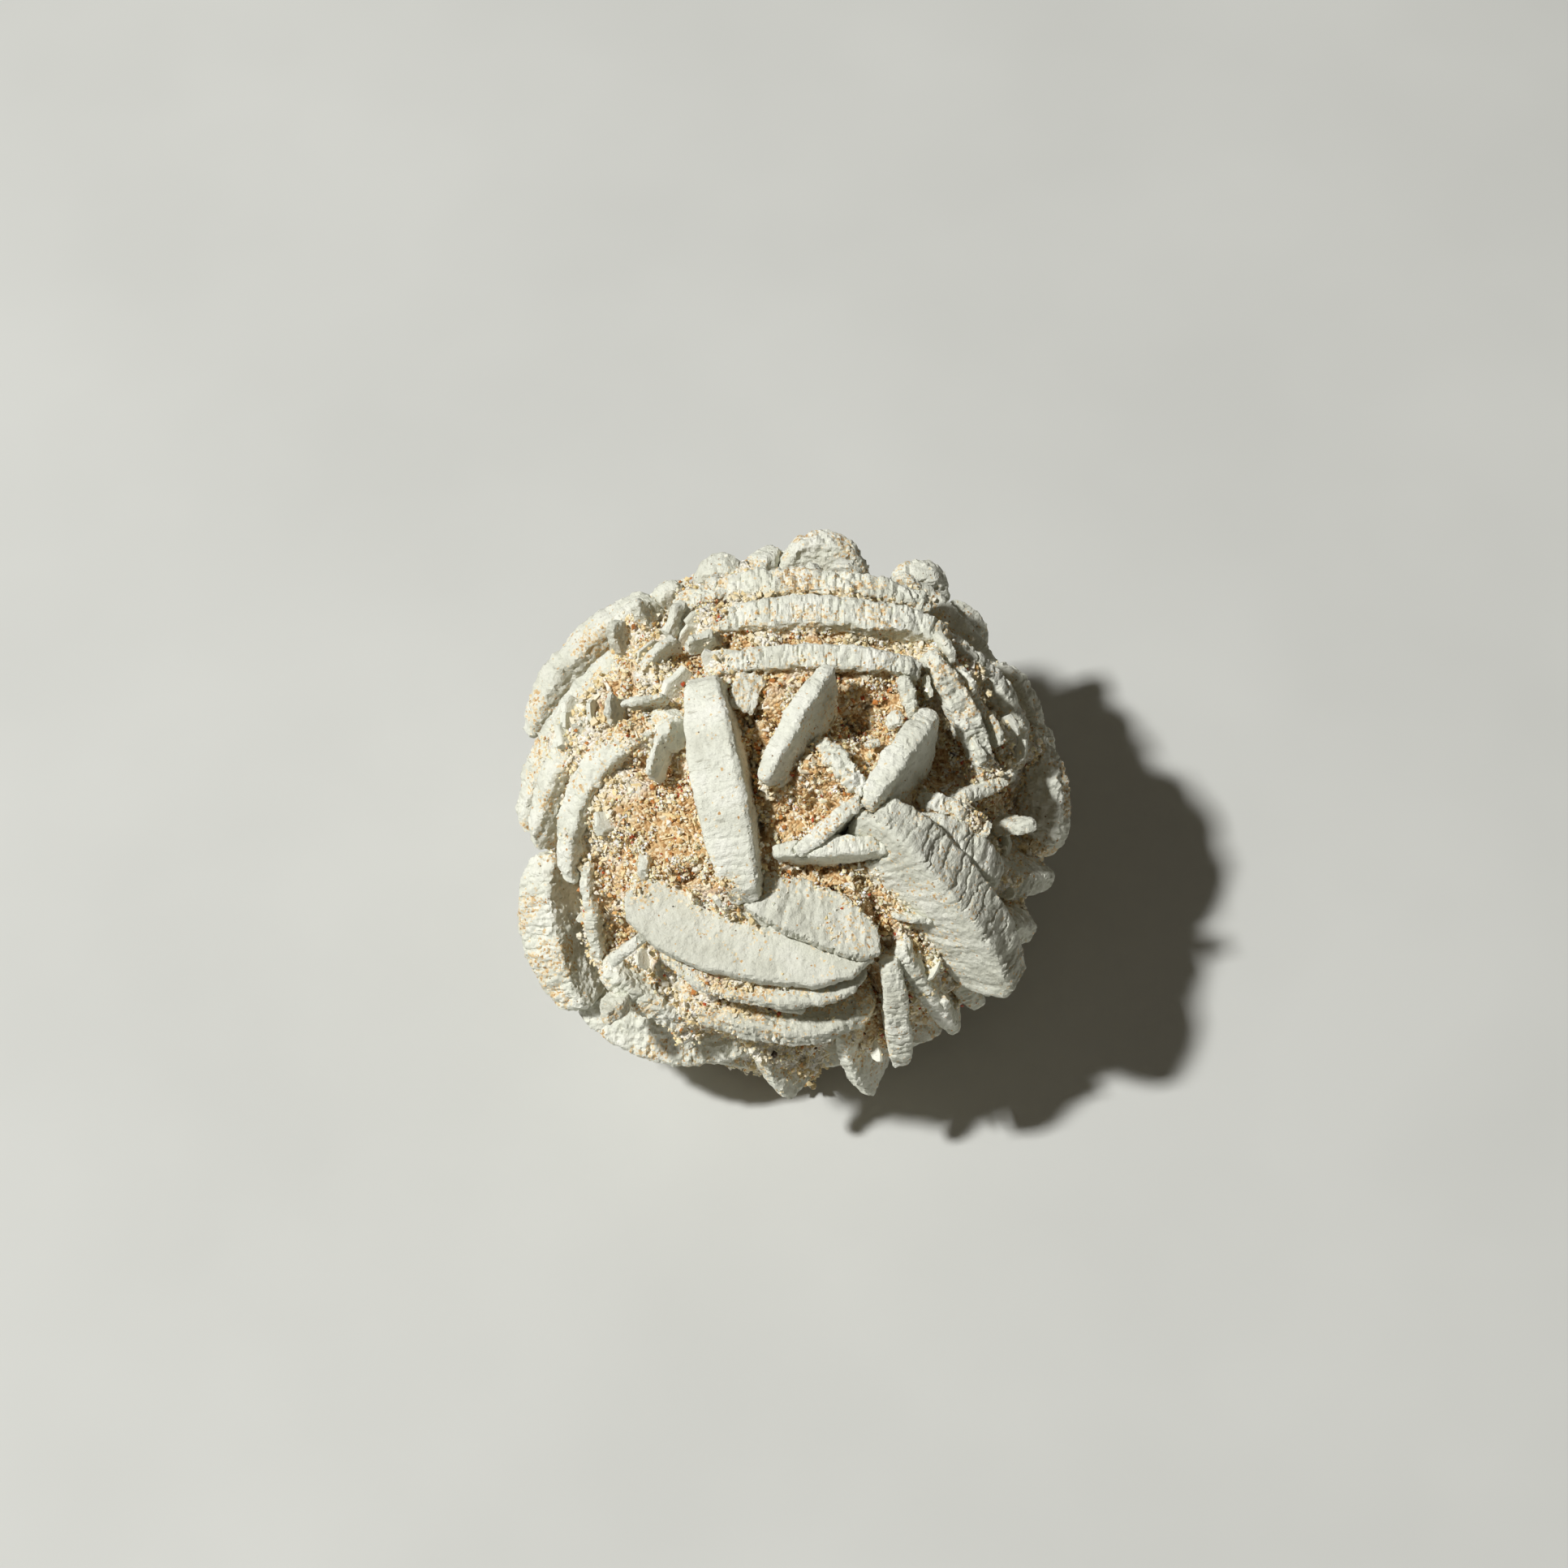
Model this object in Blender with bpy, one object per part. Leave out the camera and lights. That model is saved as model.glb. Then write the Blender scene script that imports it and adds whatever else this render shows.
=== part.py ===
"""Gypsum sand rose: a rosette of intergrown gypsum blades on a lump of cemented sand.

Run with: blender --background --python part.py

The rose is about 52 mm across and stands on a worn patch under its sand. Every crystal
blade is its own solid: a plate with a blunt rim that grows out of the sand. It is laid out
by the two ends of its rim and the way that the rim points. Places are in millimetres in
the rose's face frame: x to the right, y up the face and z out of it, from the middle of
the rose. The face leans back from the vertical, as the rose lies.
"""

import math
import random

import bmesh
import bpy
from mathutils import Matrix, Vector, noise

MM = 0.001

# Driving dimensions.
CORE_HEIGHT = 24.0  # middle of the rose above the surface that it rests on
FACE_LEAN = math.radians(30)  # the face's axis from the vertical, towards -Y
RIM_RADIUS = 25.5  # middle of the rose to the rims of the blades round its back
BACK_DEPTH = 0.38  # how far those blades run in, as a share of their length
JOINT_GAP = 0.3  # left between a blade and its neighbour or the sand
RIM_BEVEL = 0.08  # share of a blade's thickness that is worn off the edges of its rim
RIM_WAVER = 0.045  # unevenness of a blade's outline, as a share of its size
OUTLINE_POINTS = 14
TIP_TAPER = 0.38  # share of its thickness that a blade loses towards its two tips

SAND_RADII = (20.5, 21.0, 18.0)  # sand lump, along the face frame's x, y and z
SAND_SUBDIVISIONS = 3
SAND_LUMP_HEIGHT = 1.6
SAND_LUMPS_ACROSS = 2.4  # how many lumps lie side by side on the sand
FOOT_REACH = 6.0  # how much further the sand reaches down, to the worn patch
FOOT_SPREAD = 0.62  # cosine of the angle from straight down at which the foot begins

GYPSUM_COLOUR = (0.80, 0.79, 0.73, 1.0)
SAND_COLOUR = (0.55, 0.36, 0.20, 1.0)

# Each blade: name, first and last point of its rim, the way that its rim points, how far
# the rim rises beyond the line between those points, how far the blade runs in from that
# line, its thickness, and how far its middle bows out of its plane. Where two blades
# meet, the later one is cut back.

# The walls in the middle of the face stand on edge, around the sandy hollows.
FACE_WALLS = [
    ("tall_wall", (-8.6, 12.8, 17.5), (-4.6, -7.6, 19.5), (-0.16, 0.1, 0.98), 3.6, 9, 4.6, 0),
    ("thin_wall", (3, 13.5, 20), (-3, 3, 22), (-0.35, 0.2, 0.9), 1.5, 7, 1.7, 0),
    ("right_wall", (12.6, 9.6, 18), (6.5, 1, 22), (-0.25, 0.15, 0.95), 1.5, 8, 2.2, 0),
    ("crusted_ridge", (2, 7, 19), (6.5, 2, 22), (0.1, 0.2, 0.97), 1, 6, 1.8, 0),
    ("slanting_wall", (6, 1.5, 22), (0, -3.5, 21), (-0.1, 0.1, 1), 0.8, 5, 1.3, 0),
    ("level_wall", (-2, -3.3, 20), (9.5, -2.8, 20), (0, 0.2, 0.98), 1.5, 6, 1.6, 0),
]

# The slabs on the right are thick and stacked side by side.
RIGHT_SLABS = [
    ("long_slab", (6.5, 1, 21), (20, -16, 11), (0.69, 0.13, 0.71), 4.5, 6, 4.8, 0),
    ("upper_slab", (10.5, -0.5, 18), (19, -6, 13), (0.4, 0.4, 0.82), 2.5, 8, 3.0, 0),
    ("right_shelf", (16.5, -5.3, 12), (24, -6, 5), (0.1, -0.45, 0.9), 2, 8, 2.4, 0),
    ("lower_shelf", (15.5, -9, 14), (22.5, -11, 7), (0.1, -0.5, 0.85), 1.5, 7, 2.5, 0),
]

# The crescents along the bottom lie over each other like tiles.
CRESCENTS = [
    ("main_crescent", (-16, -7.4, 16), (7, -13.2, 18), (-0.22, -0.93, 0.3), 4.8, 6.5, 1.8, 0.5),
    ("top_crescent", (-5.7, -7, 18.6), (7.6, -12.8, 19), (-0.35, -0.85, 0.4), 1.6, 4, 1.3, 0),
    ("second_crescent", (-12.5, -12.2, 14), (6.5, -14.8, 16.2), (-0.1, -0.85, 0.5), 4.4, 5, 1.1, 0.5),
    ("third_crescent", (-11.4, -15.7, 10), (7.5, -17.6, 11.5), (0, -0.8, 0.6), 4.8, 6, 2.1, 0.5),
]

# The fins point down and out, below the crescents.
FINS = [
    ("middle_fin", (8.8, -13.5, 17), (10, -23.5, 8), (0.1, -0.76, 0.64), 2, 8, 2.1, 0),
    ("left_fin", (4.3, -20.5, 11), (7.2, -26.5, 3), (-0.5, -0.65, 0.5), 1.2, 6, 1.3, 0),
    ("right_fin", (9.8, -12.5, 17), (15.2, -20.5, 7), (-0.2, -0.3, 0.93), 1.2, 8, 1.6, 0),
    ("shaded_fin", (12, -11.5, 14), (17.5, -18, 5), (0.15, -0.45, 0.9), 1.5, 7, 1.5, 0),
    ("lowest_fin", (-4, -21, 7), (-0.3, -27.3, 0), (-0.7, -0.4, 0.6), 1, 8, 1.4, 0),
]

# The corner plates close the lower left.
CORNER_PLATES = [
    ("corner_edge", (-19.7, -4.3, 11), (-18.4, -14.2, 7), (-0.3, -0.2, 0.95), 1, 7, 1.0, 0),
    ("corner_slab", (-18, -14.5, 8), (-8.5, -20, 3), (-0.3, -0.5, 0.8), 2, 7, 2.4, 0),
    ("corner_base", (-24, -4, 5), (-20.5, -18.8, 2), (-0.45, -0.25, 0.85), 2, 9, 4.0, 1.5),
    ("lower_base", (-20.5, -18, 0), (-4.5, -22, -1), (-0.1, -0.3, 0.95), 2, 9, 4.0, 1.5),
]

# The petals are the widest blades, one behind the other round the face.
PETALS = [
    ("left_petal", (-10.2, 9.4, 16), (-21.2, -5.7, 11), (-0.4, 0.1, 0.9), 2.5, 9, 2.4, 3.5),
    ("left_petal_second", (-10, 12, 13), (-24.7, -2.7, 6), (-0.5, 0.3, 0.8), 2.5, 8, 2.4, 4),
    ("left_petal_third", (-9, 17.2, 8), (-26, -1.3, 1), (-0.55, 0.45, 0.7), 2.5, 8, 3.2, 4.5),
    ("left_petal_outer", (-13.5, 21, -3), (-26, 8, -5), (-0.5, 0.5, 0.7), 2, 8, 2.8, 2),
    ("top_petal", (-8.5, 13.5, 16), (11.5, 13.5, 16), (0, 0.15, 0.98), 2, 8, 2.0, -1),
    ("top_petal_second", (-9, 17.4, 11.8), (14.5, 16.8, 11.3), (0, 0.35, 0.94), 2.8, 8, 2.6, -1.2),
    ("top_petal_third", (-11, 20, 6.5), (12.5, 20, 5.5), (0, 0.5, 0.87), 2.4, 8, 2.4, -1.2),
    ("right_petal", (9.5, 17.8, 9), (21.8, 5, 4), (0.7, 0.55, 0.5), 4.3, 9, 2.0, 0),
    ("right_petal_lower", (22.3, 8, 3), (23, -4.5, 0), (0.8, 0, 0.6), 3.8, 9, 2.4, 0),
    ("right_petal_outer", (20, 14.5, -2), (23, 5.5, -3), (0.8, 0.2, 0.5), 2, 8, 2.0, 0),
]

# The ridges are the jagged edges inside the right petals.
RIDGES = [
    ("long_ridge", (12.4, 15.2, 14), (18, 3, 12), (0.1, 0.1, 0.97), 2, 8, 2.2, -0.5),
    ("short_ridge", (14.5, 14.5, 12), (17.5, 8.5, 11), (0.2, 0.1, 0.9), 1, 6, 1.3, 0),
    ("outer_ridge", (17, 10.5, 10), (20.7, 3.8, 7), (0.3, 0.1, 0.9), 1, 6, 1.2, 0),
    ("dagger", (13.5, 0.8, 15), (20.5, 3.8, 11), (0.1, -0.2, 0.95), 0.8, 5, 1.0, 0),
    ("low_ridge", (12.5, 1.5, 17), (17.5, -1.8, 13), (0.2, 0.2, 0.95), 1.5, 6, 1.8, 0),
    ("hollow_rib", (9.8, 13.2, 16), (11, 9, 17), (0, 0, 1), 1, 6, 1.1, 0),
]

# The crown stands up behind the top petals.
CROWN = [
    ("crown_middle", (-1.8, 23, -3), (7.2, 22.5, -3), (0, 0.8, 0.6), 4.4, 7, 2.2, -1),
    ("crown_middle_left", (-5, 21.5, -1), (-1.8, 25.6, -3), (-0.4, 0.5, 0.75), 1.2, 6, 2.2, 0),
    ("crown_right", (9.3, 22.3, -6), (15, 21.6, -8), (0, 0.7, 0.7), 2.4, 7, 2.8, -0.5),
    ("crown_far_right", (15, 20.5, -8), (18.5, 16.5, -8), (0.4, 0.5, 0.7), 1.5, 7, 2.0, 0),
    ("crown_left", (-9.8, 22.3, -4), (-4.5, 22.6, -4), (0, 0.7, 0.7), 2.4, 7, 2.8, -0.5),
    ("crown_far_left", (-14, 20, -3), (-11.2, 22.3, -3), (-0.4, 0.5, 0.75), 1, 6, 1.5, 0),
    ("crown_end", (-17.5, 17.5, -2), (-14.5, 20.6, -2), (-0.5, 0.5, 0.7), 1, 6, 1.5, 0),
]

# The blades round the back and underneath follow the same ball. Each: name, bearing of the
# middle of its rim in degrees round from the front towards +X, its elevation, the turn of
# its rim from level, its length and its thickness.
BACK_BLADES = [
    ("back_high", 180, -3, 6, 28, 2.4),
    ("back_middle", 171, -27, -8, 27, 2.2),
    ("back_low", 188, -52, 12, 24, 2.4),
    ("back_right_high", 130, 4, 34, 23, 2.0),
    ("back_right_low", 124, -33, 14, 25, 2.4),
    ("right_middle", 97, -10, 62, 19, 2.0),
    ("right_low", 84, -40, -18, 24, 2.4),
    ("back_left_high", 231, 2, -32, 24, 2.2),
    ("back_left_low", 238, -32, -12, 26, 2.4),
    ("left_low", 275, -36, 14, 25, 2.2),
    ("left_foot", 318, -52, -16, 24, 2.6),
    ("front_foot", 8, -44, 6, 26, 2.4),
    ("right_foot", 50, -46, -14, 24, 2.4),
]


def back_row(name, bearing, elevation, turn, length, thickness):
    """Lays out a blade of the back: its rim runs along the ball, its plane through the middle."""
    bearing, elevation = math.radians(bearing), math.radians(elevation)
    level = Vector((math.sin(bearing), -math.cos(bearing), 0))
    out = level * math.cos(elevation) + Vector((0, 0, math.sin(elevation)))
    along = Vector((0, 0, 1)).cross(level)
    along = Matrix.Rotation(math.radians(turn), 3, out) @ along
    inset = math.sqrt(RIM_RADIUS**2 - (length / 2) ** 2)
    lean_back = Matrix.Rotation(-FACE_LEAN, 3, "X")
    start = lean_back @ (out * inset - along * length / 2)
    end = lean_back @ (out * inset + along * length / 2)
    depth = length * BACK_DEPTH
    return (name, start, end, lean_back @ out, RIM_RADIUS - inset, depth, thickness, 0)


def blade_outline(length, rise, depth, seed):
    """Points round a blade in its own plane: x along its rim's chord, y outwards."""
    rng = random.Random(seed)
    points = []
    for i in range(OUTLINE_POINTS):
        turn = 2 * math.pi * i / OUTLINE_POINTS
        reach = rise if math.sin(turn) > 0 else depth
        waver = 1 + rng.uniform(-RIM_WAVER, RIM_WAVER)
        points.append(Vector((math.cos(turn) * length / 2, math.sin(turn) * reach, 0)) * waver)
    return points


def blade_object(row, seed, grow=0.0):
    """A blade, or with grow the same blade that much bigger all round, as a cutter."""
    name, start, end, outward, rise, depth, thickness, bow = row
    start, end = Vector(start), Vector(end)
    length = (end - start).length
    along = (end - start).normalized()
    out = Vector(outward)
    out = (out - out.dot(along) * along).normalized()
    across = along.cross(out)
    outline = blade_outline(length, rise, depth, seed)
    outline = [point * (1 + grow / point.length) for point in outline]
    half = thickness / 2 + grow
    worn = RIM_BEVEL * thickness
    # Each ring goes round the blade: how far it lies across, and how far it draws in.
    rings = [(-half, worn), (worn - half, 0.0), (half - worn, 0.0), (half, worn)]
    bm = bmesh.new()
    made = []
    for height, inward in rings:
        ring = []
        for point in outline:
            place = point * (1 - inward / point.length)
            to_tip = (2 * place.x / length) ** 2
            place.z = height * (1 - TIP_TAPER * to_tip) + bow * (1 - to_tip)
            ring.append(bm.verts.new(place))
        made.append(ring)
    for low, high in zip(made, made[1:]):
        for i in range(OUTLINE_POINTS):
            bm.faces.new((low[i - 1], low[i], high[i], high[i - 1]))
    bm.faces.new(made[0][::-1])
    bm.faces.new(made[-1])
    place = Matrix((along, out, across)).transposed().to_4x4()
    place.translation = (start + end) / 2
    bm.transform(place)
    bmesh.ops.triangulate(bm, faces=bm.faces)
    return linked_object(name, bm)


def linked_object(name, bm):
    mesh = bpy.data.meshes.new(name)
    bm.to_mesh(mesh)
    bm.free()
    thing = bpy.data.objects.new(name, mesh)
    bpy.context.collection.objects.link(thing)
    return thing


def sand_object():
    """The cemented sand that holds the blades: a lumpy ball with a foot."""
    down = Matrix.Rotation(-FACE_LEAN, 3, "X") @ Vector((0, 0, -1))
    bm = bmesh.new()
    bmesh.ops.create_icosphere(bm, subdivisions=SAND_SUBDIVISIONS, radius=1)
    for vert in bm.verts:
        toward = vert.co.normalized()
        reach = noise.noise(toward * SAND_LUMPS_ACROSS) * SAND_LUMP_HEIGHT
        foot = max(0.0, (toward.dot(down) - FOOT_SPREAD) / (1 - FOOT_SPREAD))
        reach += FOOT_REACH * min(1.0, 2 * foot)
        vert.co = Vector(a * b for a, b in zip(toward, SAND_RADII)) + toward * reach
    return linked_object("sand_matrix", bm)


def cut(thing, cutters):
    for cutter in cutters:
        modifier = thing.modifiers.new(cutter.name, "BOOLEAN")
        modifier.operation = "DIFFERENCE"
        modifier.object = cutter
    graph = bpy.context.evaluated_depsgraph_get()
    thing.data = bpy.data.meshes.new_from_object(thing.evaluated_get(graph))
    thing.modifiers.clear()


def keep_largest_piece(thing):
    """Drops the chips that cutting leaves, so that the crystal stays one solid."""
    bm = bmesh.new()
    bm.from_mesh(thing.data)
    left, pieces = set(bm.faces), []
    while left:
        piece, front = set(), [left.pop()]
        while front:
            face = front.pop()
            piece.add(face)
            near = {f for edge in face.edges for f in edge.link_faces} & left
            left -= near
            front.extend(near)
        pieces.append(piece)
    pieces.sort(key=lambda faces: sum(face.calc_area() for face in faces))
    chips = [face for piece in pieces[:-1] for face in piece]
    bmesh.ops.delete(bm, geom=chips, context="FACES")
    bm.to_mesh(thing.data)
    bm.free()


def box_of(thing):
    low = Vector(min(v.co[i] for v in thing.data.vertices) for i in range(3))
    high = Vector(max(v.co[i] for v in thing.data.vertices) for i in range(3))
    return low, high


def boxes_touch(first, second):
    (low_a, high_a), (low_b, high_b) = box_of(first), box_of(second)
    return all(low_a[i] < high_b[i] and low_b[i] < high_a[i] for i in range(3))


def wear_flat(thing):
    """Cuts off what lies under the resting surface and closes the cut flat."""
    bm = bmesh.new()
    bm.from_mesh(thing.data)
    cut_through = bmesh.ops.bisect_plane(
        bm,
        geom=bm.verts[:] + bm.edges[:] + bm.faces[:],
        plane_co=(0, 0, 0),
        plane_no=(0, 0, -1),
        clear_outer=True,
    )["geom_cut"]
    edges = [item for item in cut_through if isinstance(item, bmesh.types.BMEdge)]
    if edges:
        bmesh.ops.holes_fill(bm, edges=edges, sides=0)
    bm.to_mesh(thing.data)
    bm.free()


def material(name, colour, roughness):
    made = bpy.data.materials.new(name)
    made.use_nodes = True
    shader = made.node_tree.nodes["Principled BSDF"]
    shader.inputs["Base Color"].default_value = colour
    shader.inputs["Roughness"].default_value = roughness
    return made


def main():
    for old in list(bpy.data.objects):
        bpy.data.objects.remove(old)

    rows = FACE_WALLS + RIGHT_SLABS + CRESCENTS + FINS + CORNER_PLATES
    rows += PETALS + RIDGES + CROWN + [back_row(*row) for row in BACK_BLADES]
    blades = [blade_object(row, seed) for seed, row in enumerate(rows)]
    cutters = [blade_object(row, seed, JOINT_GAP) for seed, row in enumerate(rows)]
    sand = sand_object()

    # Blades and sand grew round each other, so each is cut to fit what was there before.
    for i, blade in enumerate(blades):
        cut(blade, [cutter for cutter in cutters[:i] if boxes_touch(blade, cutter)])
        keep_largest_piece(blade)
    cut(sand, [cutter for cutter in cutters if boxes_touch(sand, cutter)])
    keep_largest_piece(sand)
    for cutter in cutters:
        bpy.data.objects.remove(cutter)

    gypsum = material("gypsum", GYPSUM_COLOUR, 0.8)
    cemented_sand = material("cemented_sand", SAND_COLOUR, 0.9)
    for blade in blades:
        blade.data.materials.append(gypsum)
    sand.data.materials.append(cemented_sand)

    stand = Matrix.Translation((0, 0, CORE_HEIGHT)) @ Matrix.Rotation(FACE_LEAN, 4, "X")
    pieces = blades + [sand]
    for piece in pieces:
        piece.data.transform(stand)
        wear_flat(piece)
    boxes = [box_of(piece) for piece in pieces]
    middle = [(min(low[i] for low, _ in boxes) + max(high[i] for _, high in boxes)) / 2 for i in (0, 1)]
    centred = Matrix.Translation((-middle[0], -middle[1], 0))
    for piece in pieces:
        piece.data.transform(Matrix.Scale(MM, 4) @ centred)


main()
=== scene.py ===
"""Looks of a gypsum sand rose: chalky crystal blades in cemented desert sand."""

import math

import bmesh
import bpy
import numpy as np
from mathutils import Matrix, Vector, noise
from mathutils.bvhtree import BVHTree


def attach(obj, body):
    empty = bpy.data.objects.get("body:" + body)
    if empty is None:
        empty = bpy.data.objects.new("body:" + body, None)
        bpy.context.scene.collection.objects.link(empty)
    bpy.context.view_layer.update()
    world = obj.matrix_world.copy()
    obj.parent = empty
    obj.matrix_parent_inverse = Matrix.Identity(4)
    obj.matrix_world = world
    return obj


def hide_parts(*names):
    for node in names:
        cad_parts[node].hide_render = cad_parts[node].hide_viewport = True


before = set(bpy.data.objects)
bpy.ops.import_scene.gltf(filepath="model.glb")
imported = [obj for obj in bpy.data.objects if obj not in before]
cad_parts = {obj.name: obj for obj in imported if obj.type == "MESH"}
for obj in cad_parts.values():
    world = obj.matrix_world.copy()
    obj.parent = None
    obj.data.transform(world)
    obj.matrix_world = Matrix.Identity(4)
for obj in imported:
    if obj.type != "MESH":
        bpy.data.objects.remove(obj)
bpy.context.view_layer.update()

MM = 0.001


# ---------------------------------------------------------------------------------------
# The rose as it lies. It is a ball of blades whose open face leans back from the vertical,
# towards the front. Places on it are given in its face frame: right, up the face, and out.

ROSE_MIDDLE = Vector((0.245, -0.156, 24.0)) * MM
FACE_LEAN = math.radians(30)
FACE_TURN = Matrix.Rotation(FACE_LEAN, 3, "X")


def on_face(right, up, out):
    """A place in the rose's face frame, in mm, as a point in the scene."""
    return ROSE_MIDDLE + FACE_TURN @ Vector((right, up, out)) * MM


# ---------------------------------------------------------------------------------------
# Studio. A plain pale surface, a key light from the left that throws the blades' shadows
# across the hollows, and a pale fill. The camera looks straight at the rose's face.

CAMERA_DISTANCE = 0.400
FRAME_WIDTH = 0.151  # seen across the picture at the rose


def colour(code):
    """A linear RGBA colour from an sRGB hex code."""
    channels = [int(code[i : i + 2], 16) / 255 for i in (1, 3, 5)]
    linear = [c / 12.92 if c <= 0.04045 else ((c + 0.055) / 1.055) ** 2.4 for c in channels]
    return (*linear, 1.0)


def node(tree, kind, inputs=None, **settings):
    """Adds a node: settings are its properties, inputs its values or the sockets linked in."""
    made = tree.nodes.new(kind)
    for name, value in settings.items():
        setattr(made, name, value)
    for name, value in (inputs or {}).items():
        if isinstance(value, bpy.types.NodeSocket):
            tree.links.new(value, made.inputs[name])
        else:
            made.inputs[name].default_value = value
    return made


def ramp(tree, factor, stops):
    """A colour ramp whose stops are (position, hex colour)."""
    made = node(tree, "ShaderNodeValToRGB", {"Fac": factor})
    elements = made.color_ramp.elements
    while len(elements) < len(stops):
        elements.new(0.5)
    for element, (position, code) in zip(elements, stops):
        element.position = position
        element.color = colour(code)
    return made.outputs["Color"]


def new_material(name):
    """A material with its node tree and its shader."""
    made = bpy.data.materials.new(name)
    made.use_nodes = True
    return made, made.node_tree, made.node_tree.nodes["Principled BSDF"]


# Painted board: matt, very slightly uneven.
board, tree, shader = new_material("pale_painted_board")
shader.inputs["Roughness"].default_value = 0.9
shader.inputs["Specular IOR Level"].default_value = 0.2
place = node(tree, "ShaderNodeTexCoord").outputs["Object"]
uneven = node(tree, "ShaderNodeTexNoise", {"Vector": place, "Scale": 25.0, "Detail": 3.0})
tint = ramp(tree, uneven.outputs["Fac"], [(0.35, "#C8C9C4"), (0.65, "#CDCEC9")])
tree.links.new(tint, shader.inputs["Base Color"])

bpy.ops.object.select_all(action="DESELECT")
bpy.ops.mesh.primitive_plane_add(size=4.0)
floor = bpy.context.object
floor.name = "floor"
floor.data.materials.append(board)

look = FACE_TURN @ Vector((0, 0, 1))
aim = on_face(-1.1, 2.9, 0)
camera = bpy.data.objects.new("camera", bpy.data.cameras.new("camera"))
bpy.context.scene.collection.objects.link(camera)
camera.location = aim + look * CAMERA_DISTANCE
camera.rotation_euler = look.to_track_quat("Z", "Y").to_euler()
camera.data.sensor_width = 36.0
camera.data.lens = 36.0 * CAMERA_DISTANCE / FRAME_WIDTH
camera.data.clip_start = 0.01
bpy.context.scene.camera = camera


def studio_light(name, towards, distance, size, power):
    """A square soft light that lies towards a direction and faces the rose."""
    lamp = bpy.data.objects.new(name, bpy.data.lights.new(name, "AREA"))
    bpy.context.scene.collection.objects.link(lamp)
    lamp.location = ROSE_MIDDLE + Vector(towards).normalized() * distance
    lamp.rotation_euler = Vector(towards).to_track_quat("Z", "Y").to_euler()
    lamp.data.size = size
    lamp.data.energy = power
    return lamp


studio_light("key", (-0.514, -0.128, 0.848), 1.2, 0.08, 16.5)
studio_light("fill", (-0.6, -0.9, 0.6), 1.5, 1.2, 0.6)
world = bpy.data.worlds.new("studio")
bpy.context.scene.world = world
world.use_nodes = True
world.node_tree.nodes["Background"].inputs["Color"].default_value = colour("#EADFC9")
world.node_tree.nodes["Background"].inputs["Strength"].default_value = 0.10
bpy.context.scene.view_settings.view_transform = "Standard"


# ---------------------------------------------------------------------------------------
# Sand ground. Desert sand that gypsum has cemented: it fills the rose, packs the narrow
# gaps between the blades almost to their rims, and lies in hollows between the big walls.

SAND_RADII = (20.5, 21.0, 18.0)  # across, up and out of the face, in mm
PACKED_LEVEL = 22.6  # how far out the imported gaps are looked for, in mm
PACKED_REACH = 2.4  # a gap this wide is packed, in mm
PACKED_RISE = 3.0
FILLET_RISE = 0.5
FOOT_REACH, FOOT_SPREAD = 7.0, 0.55  # how far down the foot goes, in mm, and how narrow it is
CRUST_RISE = 1.1
SANDY_SPOTS = [
    # right, up and width, in mm, of the places where loose honey sand shows and not white crust
    (-2.0, 3.0, 10.5),
    (-11.5, -2.5, 6.5),
    (5.5, -7.0, 6.5),
    (6.0, 9.5, 6.0),
    (12.8, 5.4, 4.6),
    (18.5, 1.0, 2.6),
    (16.5, 9.0, 2.0),
    (-16.9, 14.9, 2.0),
    (-9.8, 15.0, 1.4),
    (-15.2, 8.4, 2.2),
    (-18.6, -6.0, 2.2),
    (-16.6, -10.5, 1.8),
    (-9.0, -13.5, 2.6),
    (0.0, -14.8, 4.0),
    (7.0, -17.0, 3.5),
    (12.5, -11.0, 2.5),
    (4.0, 17.0, 2.2),
]
SAND_BANKS = [
    # right, up, width and height of each bank, or hollow where the height is negative, in mm
    (-13.2, -1.0, 3.6, 2.4),
    (-9.5, -4.4, 2.8, 2.6),
    (-5.6, -6.8, 2.0, 2.2),
    (-14.5, -5.5, 2.0, 1.6),
    (9.2, -8.4, 2.6, 2.4),
    (1.6, 3.6, 2.4, 3.0),
    (4.4, 16.6, 4.0, 1.0),
    (-14.5, 8.0, 2.4, 1.2),
    (-4.7, 8.8, 0.7, -2.0),
    (-1.8, 10.6, 2.2, 2.0),
    (-18.5, 6.0, 3.4, 3.0),
    (-17.0, 1.0, 2.4, 1.6),
    (-13.5, 12.5, 3.4, 2.4),
    (-6.0, 17.5, 3.0, 1.2),
    (6.4, 11.6, 1.8, 1.6),
    (-4.3, 5.0, 1.2, -3.4),
    (-4.4, -1.0, 1.2, -3.4),
    (6.2, 8.8, 1.6, -2.8),
    (12.8, 5.6, 2.6, -3.4),
    (5.0, -6.4, 2.6, 1.8),
    (-7.5, -14.6, 2.6, 1.8),
    (-1.0, -16.0, 3.0, 1.8),
    (3.0, -4.9, 0.9, -3.4),
    (6.9, -6.4, 0.9, -3.4),
    (0.6, -5.0, 0.8, -2.6),
    (3.6, -0.6, 1.4, -2.6),
    (4.4, 1.6, 1.8, 1.6),
    (-12.6, -9.6, 0.9, -2.6),
    (-6.4, 1.2, 0.8, -1.8),
    (-9.0, -1.4, 0.8, -1.8),
    (-14.6, -11.8, 1.8, -2.4),
    (-10.5, 2.5, 1.3, -1.6),
    (6.3, -16.0, 2.0, -2.6),
    (9.5, -13.5, 1.6, -2.0),
    (19.5, -1.5, 1.8, -1.6),
]

solid_verts, solid_faces = [], []
for name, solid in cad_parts.items():
    if name != "sand_matrix":
        first = len(solid_verts)
        solid_verts += [vert.co.copy() for vert in solid.data.vertices]
        solid_faces += [[first + i for i in face.vertices] for face in solid.data.polygons]
blade_solids = BVHTree.FromPolygons(solid_verts, solid_faces)


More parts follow.
